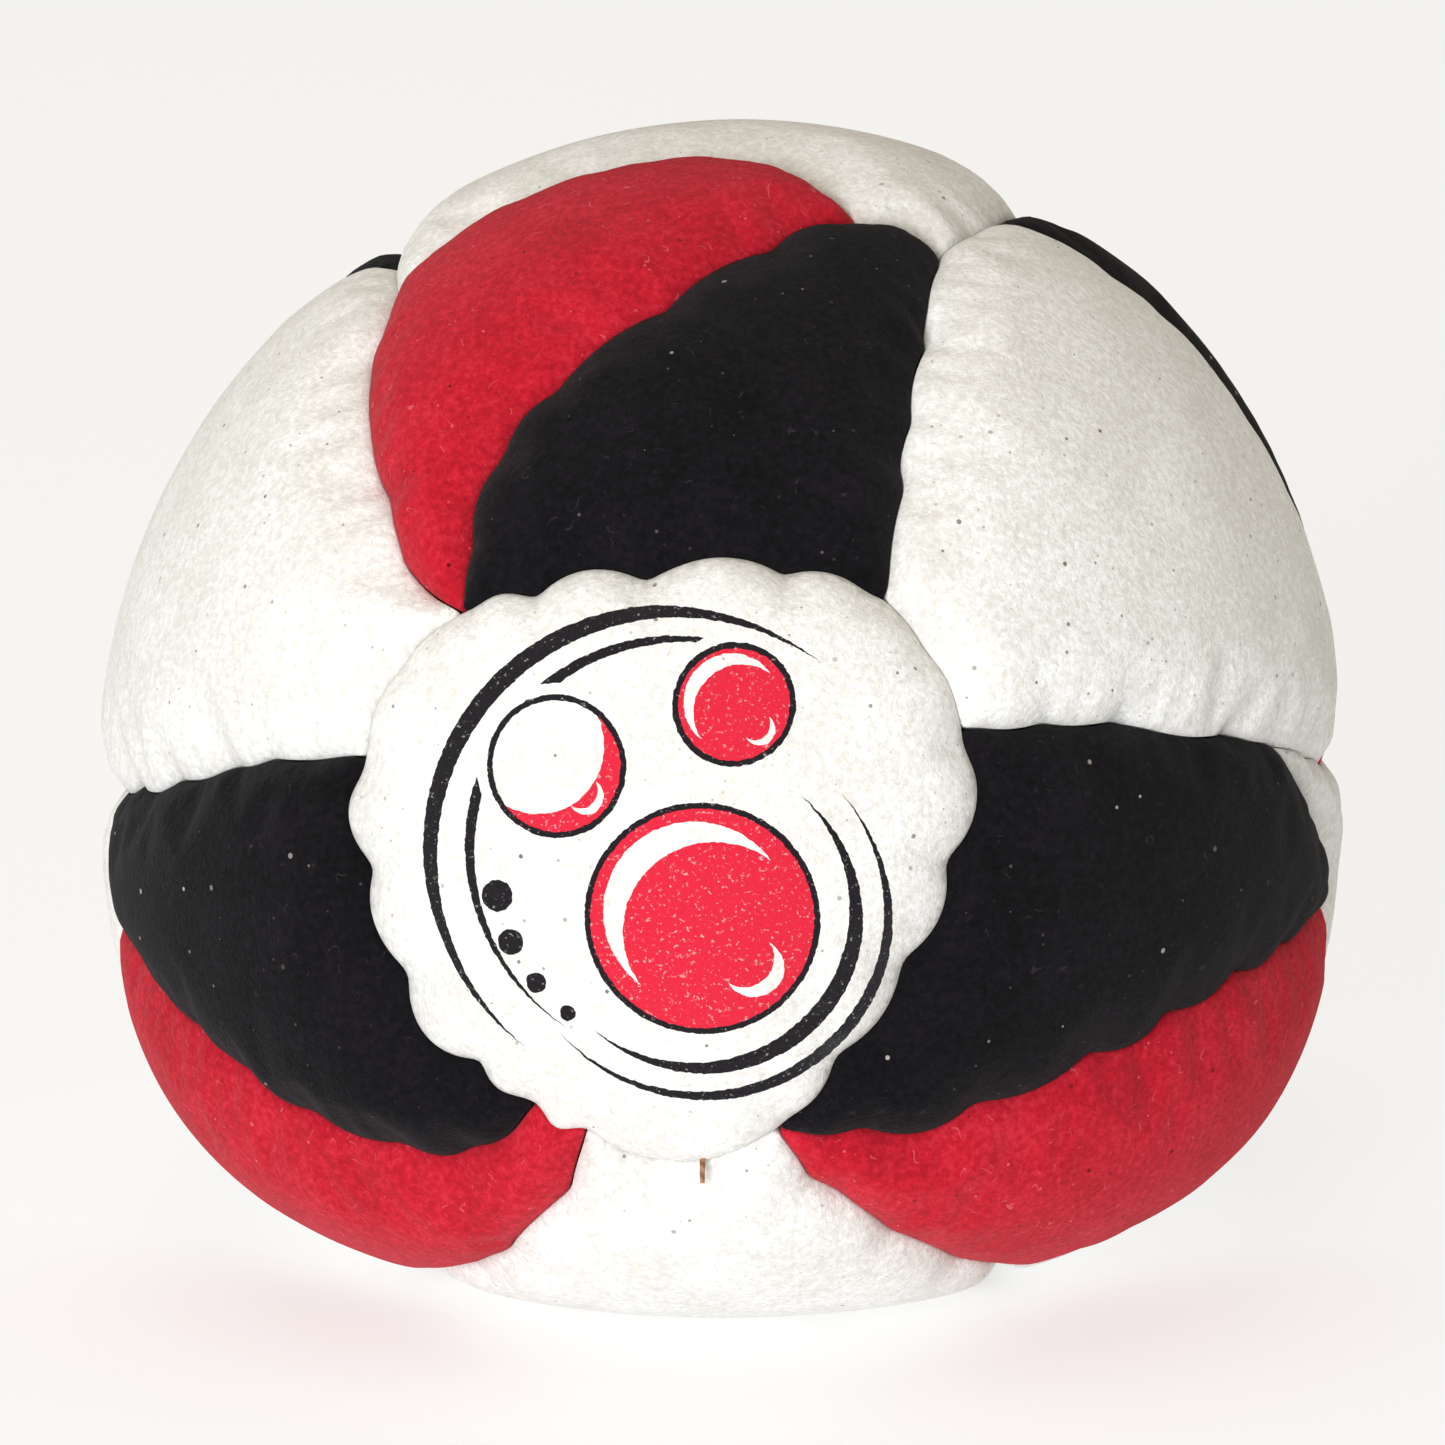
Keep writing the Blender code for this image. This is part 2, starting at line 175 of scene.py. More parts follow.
# %% Find the seams
SAME_PLACE = 0.6 * MM
knots, knot_pieces, rounds = [], [], {}
for name, ways in edges.items():
    rounds[name] = []
    for way in ways:
        near = [i for i, knot in enumerate(knots) if (knot - way).length < SAME_PLACE / BALL_RADIUS]
        if not near:
            near = [len(knots)]
            knots.append(way)
            knot_pieces.append(set())
        knot_pieces[near[0]].add(name)
        rounds[name].append(near[0])
corners = {i for i, pieces in enumerate(knot_pieces) if len(pieces) > 2}
seam_pieces, seams_round = {}, {}
for name, loop in rounds.items():
    first = next(i for i, knot in enumerate(loop) if knot in corners)
    loop = loop[first:] + loop[: first + 1]
    stops = [i for i, knot in enumerate(loop) if knot in corners]
    seams_round[name] = []
    for start, end in zip(stops, stops[1:]):
        run = tuple(loop[start : end + 1])
        forward = run[0] < run[-1]
        key = run if forward else run[::-1]
        seam_pieces.setdefault(key, []).append(name)
        seams_round[name].append((key, forward))
print(len(corners), "corners and", len(seam_pieces), "seams,")
print(sum(len(pieces) != 2 for pieces in seam_pieces.values()), "of them not shared by two pieces")

# %% [markdown]
# Suede balls are sewn by hand with stitches a few millimetres apart. Each stitch draws the seam down, and
# the fuller of the two pieces swells between the stitches into a row of small lobes. White lies over
# the colours and black over red. Two white pieces meet evenly.

# %% Sew a seam
THREAD_STEP = 0.6 * MM
# the stitch length, and how far a lobe swells over the seam
PRINT_EDGE = (5.6 * MM, 1.05 * MM)
COLOUR_CHANGE = (5.6 * MM, 0.5 * MM)
SAME_COLOUR = (5.0 * MM, 0.12 * MM)
STITCH_DEPTH, LOBE_RISE = 1.2, 0.3  # millimetres at a stitch, and less of it at a lobe's middle
SPAN_RANGE = (0.6, 1.4)  # the length of one stitch, as a share of the usual one
FULLNESS_RANGE = (0.6, 1.15)  # how full a lobe is for its length
BLUNTNESS, LOBE_MIDDLE = 0.8, 0.55  # under 1 rounds a lobe off, and the middle keeps the seam in place
CORNER_TAPER = 2 * MM
random.seed(4)


def smooth_curve(ways, step):
    """Directions about step apart along a smooth curve through some directions."""
    ends = [2 * ways[0] - ways[1], *ways, 2 * ways[-1] - ways[-2]]
    fine = []
    for before, here, after, beyond in zip(ends, ends[1:], ends[2:], ends[3:]):
        for t in (i / 12 for i in range(12)):
            bend = 2 * before - 5 * here + 4 * after - beyond
            twist = 3 * here - before - 3 * after + beyond
            fine.append((here + 0.5 * t * ((after - before) + t * (bend + t * twist))).normalized())
    fine.append(ways[-1])
    along = np.cumsum([0.0] + [(b - a).length * BALL_RADIUS for a, b in zip(fine, fine[1:])])
    places = np.linspace(0.0, along[-1], max(3, round(along[-1] / step)) + 1)
    table = np.array(fine)
    picked = np.stack([np.interp(places, along, table[:, axis]) for axis in range(3)], axis=1)
    return [Vector(row).normalized() for row in picked], along[-1]


def rank(name):
    """How far a piece lies over its neighbours at a seam: the print most, then white, black and red."""
    order = {"white_suede": 2, "black_suede": 1, "red_suede": 0}
    return 3 if name == "print_panel" else order[slot_of[name]]


def sew(key):
    """The points of a seam, as pairs of a direction and how deep the seam is drawn there."""
    upper, lower = sorted(seam_pieces[key], key=rank, reverse=True)
    pitch, swell = SAME_COLOUR
    if slot_of[upper] != slot_of[lower]:
        pitch, swell = PRINT_EDGE if upper == "print_panel" else COLOUR_CHANGE
    ways, length = smooth_curve([knots[i] for i in key], THREAD_STEP)
    upper_on_left = any(way == (key, True) for way in seams_round[upper])
    stitches = max(1, round(length / pitch))
    spans = [random.uniform(*SPAN_RANGE) for _ in range(stitches)]
    fullness = [span * random.uniform(*FULLNESS_RANGE) for span in spans]
    places = np.cumsum([0.0, *spans])
    places /= places[-1]
    sewn = []
    for i, way in enumerate(ways):
        share = i / (len(ways) - 1)
        at = np.interp(share, places, range(stitches + 1))
        lobe = abs(math.sin(math.pi * at)) ** BLUNTNESS * fullness[min(int(at), stitches - 1)]
        taper = min(1.0, share * length / CORNER_TAPER, (1 - share) * length / CORNER_TAPER)
        along = ways[min(i + 1, len(ways) - 1)] - ways[max(i - 1, 0)]
        left = way.cross(along).normalized() * (-1 if upper_on_left else 1)
        moved = way + left * swell * (lobe - LOBE_MIDDLE) * taper / BALL_RADIUS
        sewn.append((moved.normalized(), (STITCH_DEPTH - LOBE_RISE * lobe) * MM))
    return sewn


seams = {key: sew(key) for key in sorted(seam_pieces)}
print(sum(len(points) for points in seams.values()), "points on", len(seams), "seams")

# %% [markdown]
# Each piece is now cut from fine cloth. Its edge follows the sewn seams, and its inside is filled with
# an even net of triangles, because cloth that is made of long, thin triangles creases along them.
# The net is drawn flat and laid back on the body. Near a seam the cloth dips into the valley that
# the stitches draw.

# %% Cut the pieces
CLOTH_STEP = 0.95 * MM
VALLEY_WIDTH = 3.4 * MM
FILLING_PUSH = 0.35 * MM
TABLE_HOLD = 9 * MM
SIDE_GAP = 0.05 * MM
CLEAR_OF_EDGE = 0.66  # in steps of the net


def clear_of_table(height):
    """From 0 where the table holds the cover to 1 where the filling can push it out freely."""
    share = min(1.0, max(0.0, height / TABLE_HOLD))
    return share * share * (3 - 2 * share)


class FlatMap:
    """Lays part of the body flat round a middle direction, and back, in metres."""

    def __init__(self, ways):
        self.middle = sum(ways, Vector()).normalized()
        self.right = self.middle.orthogonal().normalized()
        self.up = self.middle.cross(self.right)

    def flat(self, way):
        turn = self.middle.angle(way)
        side = Vector((way.dot(self.right), way.dot(self.up)))
        return side.normalized() * turn * BALL_RADIUS

    def way(self, place):
        turn = place.length / BALL_RADIUS
        side = place.normalized()
        return self.middle * math.cos(turn) + (self.right * side.x + self.up * side.y) * math.sin(turn)


def net_inside(edge, step):
    """Points of an even triangular net that lie inside a flat outline and clear of it."""
    rows = np.arange(edge[:, 1].min() + step / 3, edge[:, 1].max(), step * math.sqrt(0.75))
    columns = np.arange(edge[:, 0].min(), edge[:, 0].max(), step)
    net = np.array([(x + step / 2 * (i % 2), y) for i, y in enumerate(rows) for x in columns])
    a, b = edge, np.roll(edge, -1, axis=0)
    crosses = (a[:, 1] > net[:, 1:]) != (b[:, 1] > net[:, 1:])
    reach = a[:, 0] + (b[:, 0] - a[:, 0]) * (net[:, 1:] - a[:, 1]) / (b[:, 1] - a[:, 1] + 1e-12)
    inside = (crosses & (net[:, :1] < reach)).sum(axis=1) % 2 == 1
    clear = np.hypot(*(net[:, None, :] - edge[None, :, :]).transpose(2, 0, 1)).min(axis=1)
    return net[inside & (clear > CLEAR_OF_EDGE * step)]


def cut(name):
    """A suede piece as an open net of cloth, with the vertex group Edge on its sewn edge."""
    sewn = []
    for key, forward in seams_round[name]:
        sewn += seams[key][:-1] if forward else seams[key][:0:-1]
    ways = let_out([way for way, _ in sewn], -SIDE_GAP)
    depths = [depth for _, depth in sewn]
    flat_map = FlatMap(ways)
    edge = np.array([flat_map.flat(way) for way in ways])
    places = [Vector(row) for row in (*edge, *net_inside(edge, CLOTH_STEP))]
    made = delaunay_2d_cdt(places, [], [list(range(len(edge)))], 1, 1e-9)
    near = KDTree(len(ways))
    for i, way in enumerate(ways):
        near.insert(way, i)
    near.balance()
    points = []
    for place in made[0]:
        way = flat_map.way(place)
        _, i, gap = near.find(way)
        share = min(1.0, gap * BALL_RADIUS / VALLEY_WIDTH)
        dip = depths[i] * (1 - math.sqrt(1 - (1 - share) ** 2))
        reach = body_radius(way)
        slack = FILLING_PUSH * clear_of_table(HEART.z + way.z * reach)
        points.append(HEART + way * (reach - dip - slack))
    mesh = bpy.data.meshes.new(name + "_suede")
    mesh.from_pydata(points, [], made[2])
    middle = mesh.polygons[len(mesh.polygons) // 2]
    if middle.normal.dot(middle.center - HEART) < 0:
        mesh.flip_normals()
    piece = bpy.data.objects.new(name + "_suede", mesh)
    bpy.context.scene.collection.objects.link(piece)
    piece.vertex_groups.new(name="Edge").add(list(range(len(edge))), 1.0, "REPLACE")
    return piece


suede = {name: cut(name) for name in cover}
print("cloth points:", sum(len(piece.data.vertices) for piece in suede.values()))

# %% [markdown]
# The pellets press the suede outwards and the thread holds its edges. Blender's cloth works that out:
# the edge is pinned, pressure pushes from inside, and the cloth is a little too large for its seams,
# so it puckers beside the stitches as real suede does. Cloth is tuned for things the size of furniture,
# so the pieces are twenty times as large while it runs.

# %% Fill the ball
CLOTH_SCALE = 20.0
PRESSURE = 5.0
FRAMES = 24
MOST_MOVE = 1.6 * MM


def add_cloth(piece):
    """Makes a piece cloth that is pinned at its edge, slightly too large, and under pressure."""
    piece.data.transform(Matrix.Scale(CLOTH_SCALE, 4))
    cloth = piece.modifiers.new("Filling", "CLOTH")
    settings = cloth.settings
    settings.quality = 6
    settings.mass = 0.3
    settings.tension_stiffness = 30.0
    settings.compression_stiffness = 20.0
    settings.shear_stiffness = 10.0
    settings.bending_stiffness = 1.5
    settings.vertex_group_mass = "Edge"
    settings.shrink_min = -0.025
    settings.use_pressure = True
    settings.uniform_pressure_force = PRESSURE
    settings.effector_weights.gravity = 0.0
    cloth.point_cache.frame_start = 1
    cloth.point_cache.frame_end = FRAMES


def settle(pieces, most):
    """Runs the cloth, keeps its result, and lets no point move further than a limit."""
    before, after, moves = {}, {}, []
    for piece in pieces:
        before[piece] = np.array([v.co for v in piece.data.vertices])
        add_cloth(piece)
    for step in range(1, FRAMES + 1):
        bpy.context.scene.frame_set(step)
    graph = bpy.context.evaluated_depsgraph_get()
    for piece in pieces:
        settled = piece.evaluated_get(graph).to_mesh()
        after[piece] = np.array([v.co for v in settled.vertices]) / CLOTH_SCALE
    for piece in pieces:
        piece.modifiers.clear()
        start = before[piece]
        shift = after[piece] - start
        size = np.linalg.norm(shift, axis=1, keepdims=True)
        free = np.array([clear_of_table(height) for height in start[:, 2]])
        shift *= free[:, None] * most * np.tanh(size / most) / np.maximum(size, 1e-12)
        piece.data.vertices.foreach_set("co", (start + shift).ravel())
        piece.data.update()
        moves.append(np.linalg.norm(shift, axis=1))
    bpy.context.scene.frame_set(1)
    moves = np.concatenate(moves) / MM
    print("the filling moved the cloth by", moves.mean().round(2), "mm on average")
    print("and by", moves.max().round(2), "mm at most")


settle(list(suede.values()), MOST_MOVE)

# %% [markdown]
# Where a seam is drawn tighter, a soft fold runs from it into the suede. A fold is a shallow trough with
# a slight ridge on both sides, deepest at the seam. Real folds come from how the ball was last held, so
# they are given as lines between two places on the cover.

# %% Press in the folds
FOLDS = (
    # its end at the seam, its far end, and its depth and half width in millimetres
    ((64.6, 58.5), (60.5, 67.0), 0.55, 1.1),
    ((59.3, 43.5), (49.5, 49.5), 0.50, 1.3),
    ((14.0, 47.5), (19.0, 54.5), 0.55, 1.0),
    ((9.6, 62.5), (14.0, 68.0), 0.50, 0.9),
    ((130.5, 44.0), (136.5, 52.0), 0.50, 1.2),
    ((135.5, 33.5), (142.0, 41.0), 0.45, 1.1),
    ((173.5, 48.0), (166.5, 52.5), 0.50, 1.1),
    ((178.6, 64.0), (172.5, 64.8), 0.50, 1.0),
    ((168.5, 37.0), (159.0, 35.6), 0.35, 1.0),
    ((298.5, 35.0), (293.0, 43.5), 0.50, 1.1),
    ((251.5, 48.0), (258.5, 43.5), 0.45, 1.2),
    ((255.3, 30.2), (250.5, 36.0), 0.45, 0.9),
)
FADE, RIDGE = 0.75, 0.9  # the depth lost at the far end, and the height of the ridges
folds = []
for start, end, depth, width in FOLDS:
    folds.append((direction(*start), direction(*end), depth * MM, width * MM))


def fold_depth(way):
    """How deep the folds press the cover in here. It is negative on the ridge beside a fold."""
    total = 0.0
    for start, end, depth, width in folds:
        along = end - start
        share = min(1.0, max(0.0, (way - start).dot(along) / along.length_squared))
        far = (way - start - along * share).length * BALL_RADIUS / width
        if far < 3:
            total += depth * (1 - FADE * share) * (1 - RIDGE * far * far) * math.exp(-far * far)
    return total


pressed = 0
for piece in suede.values():
    for vertex in piece.data.vertices:
        way = (vertex.co - HEART).normalized()
        depth = fold_depth(way)
        vertex.co -= way * depth
        pressed += depth != 0.0
print(len(folds), "folds move", pressed, "points of the cloth")

# %% [markdown]
# The net is now subdivided for a smooth surface, and the cloth is let down on the table, where it lies
# flat. The edge is turned in under the seam, and a thickness is added inwards, so the outer face
# stays where it is.

# %% Turn in the edges
SUEDE_THICKNESS = 0.8 * MM
TABLE_CLEARANCE = 0.02 * MM
TURNED_IN = (0.35, 0.8, 0.9)  # how far each step of the turned edge drops, in millimetres


def finish_piece(piece):
    """Smooths a piece, stands it on the table, turns its edge in and gives it its thickness."""
    smoother = piece.modifiers.new("Smooth", "SUBSURF")
    smoother.levels = 1
    smoother.render_levels = 1
    bpy.context.view_layer.objects.active = piece
    bpy.ops.object.modifier_apply(modifier=smoother.name)
    sheet = bmesh.new()
    sheet.from_mesh(piece.data)
    for vertex in sheet.verts:
        vertex.co.z = max(vertex.co.z, TABLE_CLEARANCE)
    for drop in TURNED_IN:
        rim = [edge for edge in sheet.edges if edge.is_boundary]
        turned = bmesh.ops.extrude_edge_only(sheet, edges=rim)["geom"]
        for vertex in (item for item in turned if isinstance(item, bmesh.types.BMVert)):
            vertex.co -= (vertex.co - HEART).normalized() * drop * MM
    sheet.to_mesh(piece.data)
    sheet.free()
    wall = piece.modifiers.new("Thickness", "SOLIDIFY")
    wall.thickness = SUEDE_THICKNESS
    wall.offset = -1.0
    bpy.ops.object.modifier_apply(modifier=wall.name)
    piece.data.shade_smooth()


for name, piece in suede.items():
    finish_piece(piece)
    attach(piece, "root")
    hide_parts(name)
print("faces in the cover:", sum(len(piece.data.polygons) for piece in suede.values()))

# %% [markdown]
# The cover is synthetic suede: a cloth of very fine polyester fibres whose face was brushed up and
# sheared into a short nap. The nap scatters light every way, so it shows no gloss. It leans one way in
# one patch and another way in the next, which makes the tone drift, and it holds specks of lint.
# Its fibres are about 0.01 mm thick, far too fine to show, so the grain is drawn as tufts and not fibres.

# %% Colours and nodes
def colour(hexcode):
    """An sRGB hex colour as linear values with alpha."""
    values = [int(hexcode[i : i + 2], 16) / 255 for i in (1, 3, 5)]
    linear = [v / 12.92 if v <= 0.04045 else ((v + 0.055) / 1.055) ** 2.4 for v in values]
    return (*linear, 1.0)


def add_node(tree, kind, settings=None, stops=(), **inputs):
    """Adds a node with its settings.

    An input is a value or another node's socket, by name or by _number. Stops are the pairs of a
    position and a hex colour on a colour ramp.
    """
    node = tree.nodes.new("ShaderNode" + kind)
    for key, value in (settings or {}).items():
        setattr(node, key, value)
    for position, _ in stops[1:-1]:
        node.color_ramp.elements.new(position)
    for i, (position, hexcode) in enumerate(stops):
        node.color_ramp.elements[i].position = position
        node.color_ramp.elements[i].color = colour(hexcode)
    for key, value in inputs.items():
        socket = node.inputs[int(key[1:]) if key[1:].isdigit() else key.replace("_", " ")]
        if isinstance(value, bpy.types.NodeSocket):
            tree.links.new(value, socket)
        else:
            socket.default_value = value
    return node


def new_material(name):
    """A material with only its output and its main shader, and the object's own coordinates."""
    made = bpy.data.materials.new(name)
    made.use_nodes = True
    tree = made.node_tree
    shader = tree.nodes["Principled BSDF"]
    place = add_node(tree, "TexCoord").outputs["Object"]
    return made, tree, shader, place


print("a grey of #808080 reflects", round(100 * colour("#808080")[0]), "percent of the light")

# %% [markdown]
# One recipe serves the three dyes. The nap's tone is a slow drift over patches of 4 mm plus a grain of
# 0.4 mm tufts. Specks of two sizes lie on it, at most 0.3 mm wide, and so do a few stray fibres.
# The tufts are some ten times coarser than real ones, so that they still show at this size.

# %% Suede
TONE_STEPS = (0.33, 0.5, 0.68)
SPECK_PLACES = (1.3, 0.11)  # millimetres between places, and the widest radius as a share of that
LINT_PLACES = (0.55, 0.16)
FIBRE_THINNESS = 0.007
FIBRE_STRENGTH = 0.45


def suede_material(name, tones, speck, lint, fibre, sheen):
    """Brushed synthetic suede, with no gloss and a soft grain.

    Tones are the dark, middle and light colours of the nap. Speck, lint and fibre are each a colour and
    the share of their places that hold one.
    """
    made, tree, shader, place = new_material(name)
    patches = add_node(tree, "TexNoise", Vector=place, Scale=1 / (4 * MM), Detail=2.0)
    grain = add_node(tree, "TexNoise", Vector=place, Scale=1 / (0.4 * MM), Detail=3.0, Roughness=0.75)
    drift = add_node(
        tree, "Math", {"operation": "MULTIPLY_ADD"}, _0=patches.outputs["Fac"], _1=0.35, _2=-0.175
    )
    tone = add_node(tree, "Math", {"operation": "ADD"}, _0=grain.outputs["Fac"], _1=drift.outputs[0])
    stops = tuple(zip(TONE_STEPS, tones))
    coat = add_node(tree, "ValToRGB", stops=stops, Fac=tone.outputs[0]).outputs["Color"]

    # A speck fills the middle of a cell, if the cell's random number says that it holds one.
    for (pitch, widest), (hexcode, share) in ((SPECK_PLACES, speck), (LINT_PLACES, lint)):
        cells = add_node(tree, "TexVoronoi", Vector=place, Scale=1 / (pitch * MM))
        chance = add_node(tree, "SeparateColor", Color=cells.outputs["Color"])
        size = add_node(
            tree, "Math", {"operation": "MULTIPLY_ADD"}, _0=chance.outputs[1], _1=widest / 2, _2=widest / 2
        )
        dots = add_node(
            tree, "Math", {"operation": "LESS_THAN"}, _0=cells.outputs["Distance"], _1=size.outputs[0]
        )
        held = add_node(tree, "Math", {"operation": "LESS_THAN"}, _0=chance.outputs[0], _1=share)
        spot = add_node(tree, "Math", {"operation": "MULTIPLY"}, _0=dots.outputs[0], _1=held.outputs[0])
        faded = add_node(tree, "Math", {"operation": "MULTIPLY"}, _0=spot.outputs[0], _1=chance.outputs[2])
        coat = add_node(
            tree, "Mix", {"data_type": "RGBA"}, _0=faded.outputs[0], _6=coat, _7=colour(hexcode)
        ).outputs[2]

    # The middle level of a smooth noise is a thin winding line, and a finer noise breaks it into fibres.
    strands = add_node(tree, "TexNoise", Vector=place, Scale=1 / (1.6 * MM), Detail=1.0, Distortion=0.6)
    off = add_node(tree, "Math", {"operation": "SUBTRACT"}, _0=strands.outputs["Fac"], _1=0.5)
    ridge = add_node(tree, "Math", {"operation": "ABSOLUTE"}, _0=off.outputs[0])
    thin = add_node(tree, "Math", {"operation": "LESS_THAN"}, _0=ridge.outputs[0], _1=FIBRE_THINNESS)
    parts = add_node(tree, "TexNoise", Vector=place, Scale=1 / (0.7 * MM), Detail=0.0)
    kept = add_node(
        tree, "Math", {"operation": "LESS_THAN"}, _0=parts.outputs["Fac"], _1=0.28 + 0.2 * fibre[1]
    )
    lines = add_node(tree, "Math", {"operation": "MULTIPLY"}, _0=thin.outputs[0], _1=kept.outputs[0])
    faint = add_node(tree, "Math", {"operation": "MULTIPLY"}, _0=lines.outputs[0], _1=FIBRE_STRENGTH)
    coat = add_node(tree, "Mix", {"data_type": "RGBA"}, _0=faint.outputs[0], _6=coat, _7=colour(fibre[0]))
    tree.links.new(coat.outputs[2], shader.inputs["Base Color"])

    # The pile stands up to 0.2 mm proud in tufts of 0.3 mm, and its tips are the roughest.
    pile = add_node(tree, "TexNoise", Vector=place, Scale=1 / (0.28 * MM), Detail=4.0, Roughness=0.7)
    bump = add_node(tree, "Bump", Height=pile.outputs["Fac"], Strength=0.55, Distance=0.22 * MM)
    tree.links.new(bump.outputs["Normal"], shader.inputs["Normal"])
    rough = add_node(tree, "MapRange", Value=pile.outputs["Fac"], To_Min=0.88, To_Max=1.0)
    tree.links.new(rough.outputs["Result"], shader.inputs["Roughness"])
    shader.inputs["Specular IOR Level"].default_value = 0.12
    shader.inputs["Sheen Weight"].default_value = sheen
    shader.inputs["Sheen Roughness"].default_value = 0.5
    return made


# Undyed white: grey and brown specks show on it, and the lightest tufts are almost pure white.
white = {
    "tones": ("#DDDBD5", "#EAE9E5", "#F9F9F8"),
    "speck": ("#6F685E", 0.7),
    "lint": ("#A39B8C", 0.25),
    "fibre": ("#C4BFB5", 0.1),
}
# Black dye leaves a trace of purple, and pale lint stands out most on it.
black = {
    "tones": ("#080709", "#0F0D11", "#18151A"),
    "speck": ("#B4A9A2", 0.35),
    "lint": ("#5A4E52", 0.10),
    "fibre": ("#3A343A", 0.2),
}
# Red dye takes unevenly, so the tufts run from crimson to a pinkish red.
red = {
    "tones": ("#AA1424", "#BE1A2C", "#CE2A3C"),
    "speck": ("#5E0A14", 0.6),
    "lint": ("#E86C78", 0.18),
    "fibre": ("#E4707C", 0.2),
}
finishes = {
    "white_suede": suede_material("white_suede", sheen=0.2, **white),
    "black_suede": suede_material("black_suede", sheen=0.04, **black),
    "red_suede": suede_material("red_suede", sheen=0.06, **red),
}
for name, piece in suede.items():
    piece.data.materials.append(finishes[slot_of[name]])
print("suede colours:", sorted(finishes))

# %% [markdown]
# The round panel in front is screen printed with two inks. Its picture is a plain one for a juggling
# ball: three balls in the air and the sweep of their flight. Each shape is made from discs. One disc
# less another that is shifted leaves a crescent: a highlight, or a sweep that thins at both ends.

# %% Print the round panel
# All in millimetres on the print, from its middle.
LINE = 0.30
WHITE_RIM = 0.7
WOBBLE = 0.16
DOTS = (((-7.9, -2.6), 0.8), ((-7.2, -4.9), 0.66), ((-5.9, -6.9), 0.52), ((-4.3, -8.4), 0.4))
BALLS = (((2.4, -3.4), 5.7, "red"), ((-5.0, 4.0), 3.4, "white"), ((3.8, 7.3), 2.9, "red"))
LARGEST_BALL = BALLS[0][1]


def disc(tree, place, centre, radius):
    """A mask that is 1 inside a circle, in millimetres on the print."""
    gap = add_node(tree, "VectorMath", {"operation": "DISTANCE"}, _0=place, _1=(*centre, 0.0))
    inside = add_node(tree, "Math", {"operation": "LESS_THAN"}, _0=gap.outputs["Value"], _1=radius)
    return inside.outputs[0]


def crescent(tree, place, centre, radius, shift, shrink=0.0):
    """A mask for a disc less the same disc shifted, or shrunk where the shape is a ring."""
    other = (centre[0] + shift[0], centre[1] + shift[1])
    whole = disc(tree, place, centre, radius)
    rest = disc(tree, place, other, radius - shrink)
    left = add_node(tree, "Math", {"operation": "SUBTRACT", "use_clamp": True}, _0=whole, _1=rest)
    return left.outputs[0]


def print_shapes(tree, place):
    """The print from back to front, as pairs of a mask and its ink."""
    shapes = [
        (crescent(tree, place, (0.4, -0.2), 12.2, (0.75, -0.55)), "black"),
        (crescent(tree, place, (1.0, 0.0), 10.6, (0.5, -0.3)), "black"),
        (crescent(tree, place, (2.4, -3.4), 7.9, (-0.65, 0.55)), "black"),
        (crescent(tree, place, (2.4, -3.4), 9.3, (-0.4, 0.45)), "black"),
    ]
    shapes += [(disc(tree, place, centre, radius), "black") for centre, radius in DOTS]
    for centre, radius, ink in BALLS:
        size = radius / LARGEST_BALL
        shapes.append((disc(tree, place, centre, radius + WHITE_RIM), "white"))
        shapes.append((disc(tree, place, centre, radius), ink))
        if ink == "white":
            shapes.append((crescent(tree, place, centre, radius, (-1.0, 1.0)), "red"))
        shine = (centre[0] - 0.3 * size, centre[1] + 0.3 * size)
        shapes.append((crescent(tree, place, shine, 4.6 * size, (1.0 * size, -1.0 * size)), "white"))
        spot = (centre[0] + 2.6 * size, centre[1] - 2.4 * size)
        shapes.append((crescent(tree, place, spot, 1.5 * size, (-0.5 * size, 0.5 * size)), "white"))
        shapes.append((crescent(tree, place, centre, radius + LINE / 2, (0, 0), LINE), "black"))
    return shapes


def print_material(name):
    """White suede, screen printed with plastisol.

    The ink is pressed through a mesh and sits on top of the nap, so its edges are rough and flecks of
    white show through it. The flecks are 0.2 mm and the roughness of the edges is 0.3 mm long.
    """
    made = suede_material(name, sheen=0.2, **white)
    tree = made.node_tree
    shader = tree.nodes["Principled BSDF"]
    cloth = shader.inputs["Base Color"].links[0].from_socket
    turn = PRINT_FRAME.transposed()
    flat = add_node(
        tree,
        "Mapping",
        Vector=add_node(tree, "TexCoord").outputs["Object"],
        Location=turn @ HEART / -MM,
        Rotation=turn.to_euler(),
        Scale=(1 / MM, 1 / MM, 1 / MM),
    )
    wobble = add_node(tree, "TexNoise", Vector=flat.outputs[0], Scale=3.0, Detail=2.0)
    shaken = add_node(
        tree,
        "VectorMath",
        {"operation": "MULTIPLY_ADD"},
        _0=wobble.outputs["Color"],
        _1=(WOBBLE, WOBBLE, 0.0),
        _2=flat.outputs[0],
    )
    level = add_node(tree, "VectorMath", {"operation": "MULTIPLY"}, _0=shaken.outputs[0], _1=(1, 1, 0))
    place = level.outputs[0]
    flecks = add_node(tree, "TexNoise", Vector=flat.outputs[0], Scale=4.5, Detail=2.0, Roughness=0.7)
    cover_of = {}
    for ink, least in (("red", 0.30), ("black", 0.27)):
        spread = {"From_Min": least, "From_Max": least + 0.1, "To_Min": 0.6}
        ranged = add_node(tree, "MapRange", Value=flecks.outputs["Fac"], **spread)
        cover_of[ink] = ranged.outputs["Result"]
    inks = {"red": colour("#D8243C"), "black": colour("#1B181D"), "white": cloth}
    printed = cloth
    for mask, ink in print_shapes(tree, place):
        if ink != "white":
            inked = add_node(tree, "Math", {"operation": "MULTIPLY"}, _0=mask, _1=cover_of[ink])
            mask = inked.outputs[0]
        layer = add_node(tree, "Mix", {"data_type": "RGBA"}, _0=mask, _6=printed, _7=inks[ink])
        printed = layer.outputs[2]
    tree.links.new(printed, shader.inputs["Base Color"])
    return made


